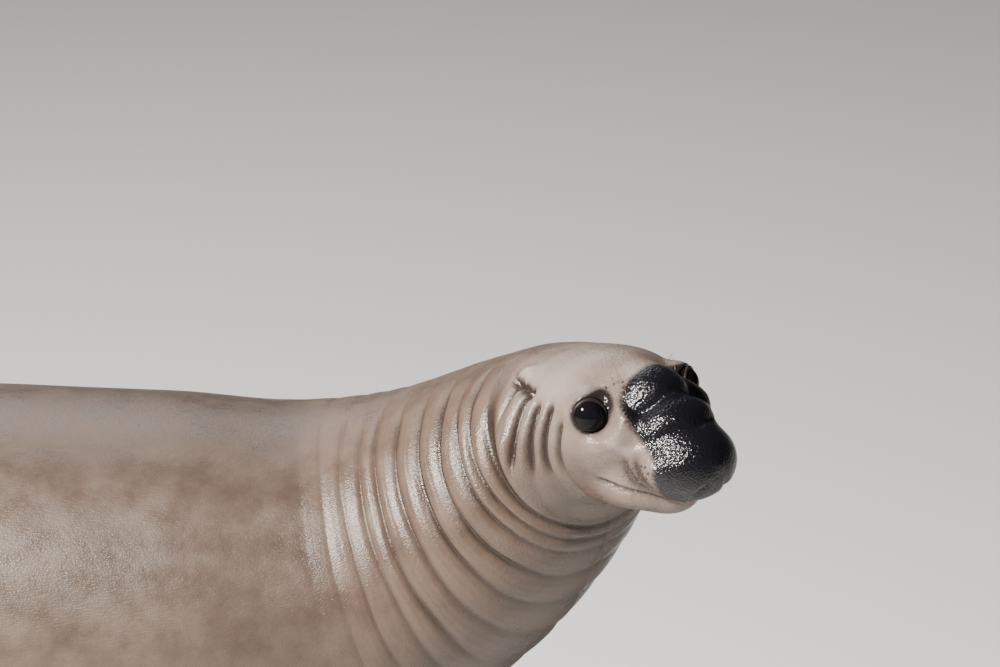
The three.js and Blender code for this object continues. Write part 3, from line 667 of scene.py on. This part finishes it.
# Points round a flipper, and the share of its length over which the root flares into the body.
ROUND_FLIPPER, FLARE_SHARE = 96, 0.16
SIDES = {"right": -1, "left": 1}


def flipper_frame(root, way, edge, side):
    """The root, the unit vector out along the flipper, the one across it, which is the edge's way less
    its share along the flipper, and the one square to both, turned round on the left side."""
    out = np.array(way) * (1, side, 1)
    out = out / np.linalg.norm(out)
    across = np.array(edge, float) - np.dot(edge, out) * out
    across /= np.linalg.norm(across)
    return root, out, across, -side * np.cross(out, across)


def fore_frame(side):
    """The fore flipper's frame, from 10 mm under the side of the trunk, with its edge ahead."""
    radius = trunk_radius(FORE_AT, FORE_ANGLE) - 10
    _, left, up = axes_at(FORE_AT)
    outwards = side * radius * sin(FORE_ANGLE) * left
    upwards = (section_middle(FORE_AT) + radius * cos(FORE_ANGLE)) * up
    return flipper_frame(spine_point(FORE_AT) + outwards + upwards, FORE_WAY, (1, 0, 0), side)


def hind_frame(side):
    """The hind flipper's frame, from a point beside the spine, with its edge up."""
    _, left, up = axes_at(HIND_AT)
    return flipper_frame(spine_point(HIND_AT) + side * HIND_OUT * left - 4 * up, HIND_WAY, (0, 0, 1), side)


def finger_ridges(form, share):
    """1 on each finger and 0 between two: the square of a cosine of the share of the chord."""
    return np.cos(share * form["fingers"] * pi / 2) ** 2


def flipper_points(form, frame_of, v, turn):
    """Rings about the flipper's line, which go round from its front edge by turn. Along it, v is negative
    in the root and 1 at the tip. The half chord times the cosine of turn lies across, and half the
    thickness times the sine to the power 0.8 lies square to it. Both flare at the root, bend and sweep
    grow with v squared, and the fingers are ridges that reach past the edge."""
    root, out, across, facing = frame_of
    share, ahead = np.cos(turn), np.maximum(0, v)
    finger = finger_ridges(form, share)
    reach = form["length"] * (form["tip"](share) + 0.05 * finger * smooth(0.5, 1, v))
    place = np.where(v < 0, form["root"] * v, reach * v)
    flare = 1 + 0.5 * np.maximum(0, 1 - ahead / FLARE_SHARE) ** 2
    chord = form["chord"](ahead) * share * flare + form["sweep"] * ahead ** 2
    rim = np.sqrt(np.maximum(0, 1 - ahead ** 8))
    rounded = np.abs(np.sin(turn)) ** 0.8 * np.sign(np.sin(turn))
    ridge = 1 + 0.35 * smooth(0.25, 0.8, v) * (finger - 0.5)
    thick = form["thick"](ahead) * rounded * ridge * rim * flare ** 1.5 + form["bend"] * ahead ** 2
    return root + place[..., None] * out + chord[..., None] * across + thick[..., None] * facing


def add_flipper(name, form, frame_of):
    """A flipper in hide, with painted shade between the fingers, its hair lying along it."""
    v = np.r_[-1, -0.5, np.linspace(0, 0.9, 46), 0.925, 0.95, 0.97, 0.985, 0.994, 0.999]
    v, turn = np.meshgrid(v, np.arange(ROUND_FLIPPER) * 2 * pi / ROUND_FLIPPER, indexing="ij")
    mesh = tube_mesh(name, flipper_points(form, frame_of, v, turn))
    share, zero = np.cos(turn), 0 * v
    between = 1 - finger_ridges(form, share)
    # Painted shade between the fingers, in the mask of the recesses.
    masks = {"nose": zero, "rim": zero, "deep": 0.5 * between * smooth(0.3, 0.8, v), "below": zero + 0.2,
             "ahead": zero, "folded": 0.8 * smooth(0.0, 0.5, v), "pad": zero}
    across = share * form["chord"](np.maximum(v, 0))
    add_masks(mesh, masks, np.stack([v * form["length"] * MM, across * MM, zero], -1))
    piece(name, mesh, HIDE, "skin", name)


for word, side in SIDES.items():
    add_flipper("fore_flipper_" + word, FORE, fore_frame(side))
    add_flipper("hind_flipper_" + word, HIND, hind_frame(side))

# CLAWS
# Curved dark claws of solid horn, which grow from the skin on top of each fore flipper, one in line with
# each finger, and taper to a blunt point.
CLAW_LENGTH, CLAW_RADIUS, CLAW_START = 46, 8, 0.84
CLAW_ARCH, CLAW_ARCH_TURN, CLAW_DROP = 9, 0.62, 6
CLAW_COLOUR = (0.03, 0.022, 0.018, 1)


def plain_material(name, colour, roughness, metallic=0.0, coat=0.0):
    """A material with one colour and one roughness."""
    material, _, _, shader = new_material(name)
    shader.inputs["Base Color"].default_value = colour
    shader.inputs["Roughness"].default_value = roughness
    shader.inputs["Metallic"].default_value = metallic
    shader.inputs["Coat Weight"].default_value = coat
    return material


def claw_mesh(name, frame_of, finger):
    """A tube from just under the flipper's upper face at the finger's line. Its radius shrinks with t to
    the power 1.6, and its line rises as an arch, a part of a sine, less a straight drop."""
    root, out, across, facing = frame_of
    share = finger * 2 / 5 - 4 / 5
    top = FORE["thick"](CLAW_START) * (1 - share * share) ** 0.4 + FORE["bend"] * CLAW_START ** 2
    along = FORE["length"] * (FORE["tip"](share) + 0.05) * CLAW_START
    beside = FORE["chord"](CLAW_START) * share + FORE["sweep"] * CLAW_START ** 2
    foot = root + along * out + beside * across + (top - 2) * facing
    t, turn = np.meshgrid(np.linspace(0, 1, 14), np.arange(20) * 2 * pi / 20, indexing="ij")
    size = CLAW_RADIUS * (1 - 0.86 * t ** 1.6)
    rise = CLAW_ARCH * np.sin(pi * t * CLAW_ARCH_TURN) - CLAW_DROP * t + 0.75 * size * np.sin(turn)
    grid = (foot + (CLAW_LENGTH * t)[..., None] * out + (size * np.cos(turn))[..., None] * across
            + rise[..., None] * facing)
    point = foot + (CLAW_LENGTH + 1) * out + (CLAW_ARCH * sin(pi * CLAW_ARCH_TURN) - CLAW_DROP) * facing
    return tube_mesh(name, grid, end=point)


HORN = plain_material("horn", CLAW_COLOUR, 0.32, coat=0.3)
for word, side in SIDES.items():
    for finger in range(FORE["fingers"]):
        name = f"claw_{word}_{finger + 1}"
        piece(name, claw_mesh(name, fore_frame(side), finger), HORN, "claw", name)

# EYES
# A wet black ball on each side, as of dark glass in a museum's model, set in a socket of the head. A dark
# rim of bare lid skin lies on the ball and holds it.
EYE_COLOUR, EYE_IOR = (0.003, 0.0026, 0.0036, 1), 1.2
LID_COLOUR, LID_IOR = (0.01, 0.0075, 0.007, 1), 1.25
LID_WIDE, LID_HIGH, LID_THICK, LID_SUNK = 28, 27, 2.8, 1


def eye_frame(side):
    """The middle of the ball, its axis out of the head, and two ways square to it, across and up."""
    centre = head_to_world(EYE_PLACE * (1, side, 1))
    axis = (EYE_AXIS * (1, side, 1)) @ HEAD_AXES
    across = np.cross(axis, HEAD_AXES[2])
    across /= np.linalg.norm(across)
    return centre, axis, across, np.cross(across, axis)


def eye_mesh(name, side):
    """A ball in rings about its axis: the radius times the cosine of t along it and the sine round it."""
    centre, axis, across, up = eye_frame(side)
    t, turn = np.meshgrid(np.linspace(0.04, pi - 0.04, 40), np.arange(64) * 2 * pi / 64, indexing="ij")
    grid = centre + EYE_RADIUS * (
        np.cos(t)[..., None] * axis + (np.sin(t) * np.cos(turn))[..., None] * across
        + (np.sin(t) * np.sin(turn))[..., None] * up)
    return tube_mesh(name, grid, centre + EYE_RADIUS * axis, centre - EYE_RADIUS * axis)


def lid_mesh(name, side):
    """A ring on the ball, thicker above, drawn out a little towards the corners. Its line is an ellipse
    raised to the ball's surface, and a circle goes round that line at each place."""
    centre, axis, across, up = eye_frame(side)
    places, tube = np.linspace(0, 2 * pi, 72, endpoint=False), np.arange(14) * 2 * pi / 14
    turn, tube = np.meshgrid(places, tube, indexing="ij")
    size = LID_THICK + 0.8 * np.sin(turn)
    x, y = (LID_WIDE + 1.5 * np.cos(turn) ** 8) * np.cos(turn), LID_HIGH * np.sin(turn)
    out = np.sqrt(np.maximum(EYE_RADIUS ** 2 - x * x - y * y, 30)) - LID_SUNK + size * np.sin(tube)
    swell = 1 + size * np.cos(tube) / np.hypot(x, y)
    grid = centre + (x * swell)[..., None] * across + (y * swell)[..., None] * up + out[..., None] * axis
    rows, around = grid.shape[:2]
    points = grid.reshape(-1, 3) * MM
    r, c = np.meshgrid(np.arange(rows), np.arange(around), indexing="ij")
    a, b = (r * around + c).ravel(), (r * around + (c + 1) % around).ravel()
    quads = np.stack([a, (a + around) % len(points), (b + around) % len(points), b], -1)
    if enclosed(points, np.vstack([quads[:, :3], quads[:, [0, 2, 3]]])) < 0:
        quads = quads[:, ::-1]
    mesh = bpy.data.meshes.new(name)
    mesh.from_pydata(points.tolist(), [], quads.tolist())
    mesh.shade_smooth()
    return mesh


EYE_BLACK = plain_material("eye", EYE_COLOUR, 0.05)
EYE_BLACK.node_tree.nodes["Principled BSDF"].inputs["IOR"].default_value = EYE_IOR
LID_BLACK = plain_material("lid", LID_COLOUR, 0.4)
LID_BLACK.node_tree.nodes["Principled BSDF"].inputs["IOR"].default_value = LID_IOR
for word, side in SIDES.items():
    piece("eye_" + word, eye_mesh("eye_" + word, side), EYE_BLACK, "eye", "eye_" + word)
    piece("lid_" + word, lid_mesh("lid_" + word, side), LID_BLACK, "skin")

# WHISKERS
# Stiff curved dark hairs, each of which grows from a small dark dome in the skin. They stand in rows on
# each side of the lip, with a few above each eye.
WHISKER_ROWS, WHISKERS_IN_ROW, BROW_HAIRS = (-74, -86, -98, -110), 6, 6
WHISKER_COLOUR = (0.03, 0.02, 0.016, 1)
HAIR_SIDES, HAIR_DROOP = 6, 0.16
rng = np.random.default_rng(7)


def on_side(forward, up):
    """The point of the side of the head at this place forward and up, taken from the nearest of many
    rays, and the way of that ray."""
    angles = np.linspace(0.05, pi - 0.05, 400)
    s = np.full_like(angles, EYES_AT + forward)
    radius = head_radius(s, angles)
    height = section_middle(s) - EYE_ABOVE_SPINE + radius * np.cos(angles)
    k = int(np.argmin(np.abs(height - up)))
    way = np.array((0.0, sin(angles[k]), cos(angles[k])))
    return np.array((forward, radius[k] * way[1], up)), way


def hair_rows():
    """Root, way, length and radius of each hair, in the head's frame, for the left side. Each lies a
    little off its regular place."""
    hairs = []
    for row, up in enumerate(WHISKER_ROWS):
        for place in range(WHISKERS_IN_ROW):
            forward = 66 + 11.5 * place + 4 * (row % 2) + rng.normal(0, 1.2)
            root, out = on_side(forward, up + rng.normal(0, 1.2))
            way = out + np.array((-0.25 + 0.12 * place, 0, -0.35 - 0.1 * row)) + rng.normal(0, 0.1, 3)
            hairs.append((root, way, rng.uniform(10, 22) + 7 * row, 0.4 + 0.05 * row))
    for place in range(BROW_HAIRS):
        root, out = on_side(-4 + 7 * place + rng.normal(0, 1), 50 - 4 * abs(place - 2.5) + rng.normal(0, 1))
        way = out + np.array((0.5 - 0.2 * place, 0, 0.5)) + rng.normal(0, 0.12, 3)
        hairs.append((root, way, rng.uniform(25, 50), 0.4))
    return hairs


def hair_points(root, way, length, radius):
    """Rings of one hair: a tapering tube that droops with the square of t, and a small dome at its root."""
    way = way / np.linalg.norm(way)
    across = np.cross(way, (0.2, 0.1, 1.0))
    across /= np.linalg.norm(across)
    t = np.r_[-1.5 / length, 0.3 / length, 1 / length, 1.8 / length, np.linspace(0.2, 1, 11)]
    size = np.r_[3.2, 2.9, 1.9, radius, radius * (1 - 0.8 * t[4:])]
    line = root + (t * length)[:, None] * way + (-HAIR_DROOP * length * t ** 2)[:, None] * (0.5, 0, 1)
    turn = np.arange(HAIR_SIDES) * 2 * pi / HAIR_SIDES
    ring = np.cos(turn)[:, None] * across + np.sin(turn)[:, None] * np.cross(way, across)
    return line[:, None] + size[:, None, None] * ring


def hair_mesh(side):
    """All the hairs of one side in one mesh, with six-sided faces at both ends of each. On the right side
    the points are mirrored, so the faces go round the other way."""
    hairs = np.stack([hair_points(*hair) for hair in hair_rows()])
    count, rows = hairs.shape[:2]
    first = np.arange(count)[:, None] * rows * HAIR_SIDES
    r, c = np.meshgrid(np.arange(rows - 1) * HAIR_SIDES, np.arange(HAIR_SIDES), indexing="ij")
    a, b = r + c, r + (c + 1) % HAIR_SIDES
    quads = np.stack([a, b, b + HAIR_SIDES, a + HAIR_SIDES], -1).reshape(-1, 4)
    quads = (first[..., None] + quads)[:, :, ::side].reshape(-1, 4)
    root_caps = (first + np.arange(HAIR_SIDES))[:, ::-side]
    tip_caps = (first + (rows - 1) * HAIR_SIDES + np.arange(HAIR_SIDES))[:, ::side]
    points = head_to_world(hairs.reshape(-1, 3) * (1, side, 1)) * MM
    mesh = bpy.data.meshes.new("whiskers")
    mesh.from_pydata(points.tolist(), [], [*quads.tolist(), *root_caps.tolist(), *tip_caps.tolist()])
    mesh.shade_smooth()
    return mesh


WHISKER = plain_material("whisker", WHISKER_COLOUR, 0.35)
for word, side in SIDES.items():
    piece("whiskers_" + word, hair_mesh(side), WHISKER, "skin")

# THE STAND
# A flat base of dark stained wood with a satin finish, and two rods of brushed steel on round feet, whose
# tops are cut to the curve of the belly. These are the solids themselves, in their own materials.
WOOD_DARK, WOOD_LIGHT, WOOD_ROUGHNESS = (0.022, 0.012, 0.007, 1), (0.085, 0.045, 0.024, 1), 0.42
STEEL_COLOUR, STEEL_ROUGHNESS = (0.56, 0.56, 0.57, 1), 0.3


def wood_material():
    """Wood grain: noise stretched along the base, as a share between a dark and a light brown."""
    material, nodes, links, shader = new_material("wood")
    place = put(nodes, "ShaderNodeTexCoord")
    stretch = put(nodes, "ShaderNodeMapping", Scale=(1.2, 16.0, 16.0))
    rings = put(nodes, "ShaderNodeTexNoise", Scale=3.0, Detail=8.0, Roughness=0.65, Distortion=0.6)
    ramp = put(nodes, "ShaderNodeValToRGB")
    for element, position, colour in zip(ramp.color_ramp.elements, (0.3, 0.72), (WOOD_DARK, WOOD_LIGHT)):
        element.position, element.color = position, colour
    links.new(place.outputs["Object"], stretch.inputs["Vector"])
    links.new(stretch.outputs["Vector"], rings.inputs["Vector"])
    links.new(rings.outputs["Fac"], ramp.inputs["Fac"])
    links.new(ramp.outputs["Color"], shader.inputs["Base Color"])
    shader.inputs["Roughness"].default_value = WOOD_ROUGHNESS
    return material


WOOD = wood_material()
STEEL = plain_material("steel", STEEL_COLOUR, STEEL_ROUGHNESS, metallic=1.0)
for name, material in (("stand_base", WOOD), ("stand_rod_front", STEEL), ("stand_rod_rear", STEEL)):
    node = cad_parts[name]
    node.data.materials.clear()
    node.data.materials.append(material)

# FLOOR, LIGHTS AND CAMERA
# A plain pale floor, a strong small lamp high on the left of the picture, and two weak wide ones. The
# camera stands far off on the animal's right side, a little above it.
floor_mesh = bpy.data.meshes.new("floor")
floor_mesh.from_pydata([(-40, -40, 0), (40, -40, 0), (40, 60, 0), (-40, 60, 0)], [], [(0, 1, 2, 3)])
floor = bpy.data.objects.new("floor", floor_mesh)
bpy.context.scene.collection.objects.link(floor)
floor_mesh.materials.append(plain_material("floor", (0.56, 0.56, 0.55, 1), 0.8))

EYES = Vector(HEAD_POINT * MM)


def area_light(name, offset, size, power, colour):
    """A soft round light at an offset from between the eyes, in metres, facing them."""
    light = bpy.data.lights.new(name, "AREA")
    light.shape, light.size, light.energy, light.color = "DISK", size, power, colour
    obj = bpy.data.objects.new(name, light)
    obj.location = EYES + Vector(offset)
    obj.rotation_euler = (-Vector(offset)).to_track_quat("-Z", "Y").to_euler()
    bpy.context.scene.collection.objects.link(obj)


area_light("key", (-3.4, -2.6, 3.4), 0.6, 1850, (1.0, 0.96, 0.9))
area_light("fill", (3.5, -4.5, 1.5), 4.0, 24, (0.85, 0.92, 1.0))
area_light("back", (-1.5, 4.0, 3.0), 3.0, 90, (0.9, 0.95, 1.0))
world = bpy.data.worlds.new("studio")
world.use_nodes = True
world.node_tree.nodes["Background"].inputs["Color"].default_value = (0.72, 0.78, 0.85, 1)
world.node_tree.nodes["Background"].inputs["Strength"].default_value = 0.09
bpy.context.scene.world = world

# The eyes stand at this place in a picture 1000 wide and 667 high, at this many picture points a metre.
DISTANCE, ELEVATION, POINTS_PER_METRE, EYES_AT_POINT = 12.0, radians(22), 560, (639.5, 398.5)
PICTURE_WIDTH, PICTURE_MIDDLE, SENSOR_WIDTH = 1000, (500, 333.5), 36
back = Vector((0, -cos(ELEVATION), sin(ELEVATION)))
up = Vector((0, sin(ELEVATION), cos(ELEVATION)))
centre = EYES + Vector((1, 0, 0)) * ((PICTURE_MIDDLE[0] - EYES_AT_POINT[0]) / POINTS_PER_METRE)
centre += up * ((EYES_AT_POINT[1] - PICTURE_MIDDLE[1]) / POINTS_PER_METRE)
camera_data = bpy.data.cameras.new("camera")
camera_data.sensor_width = SENSOR_WIDTH
camera_data.lens = SENSOR_WIDTH * DISTANCE * POINTS_PER_METRE / PICTURE_WIDTH
camera = bpy.data.objects.new("camera", camera_data)
camera.location = centre + back * DISTANCE
camera.rotation_euler = (pi / 2 - ELEVATION, 0, 0)
bpy.context.scene.collection.objects.link(camera)
bpy.context.scene.camera = camera
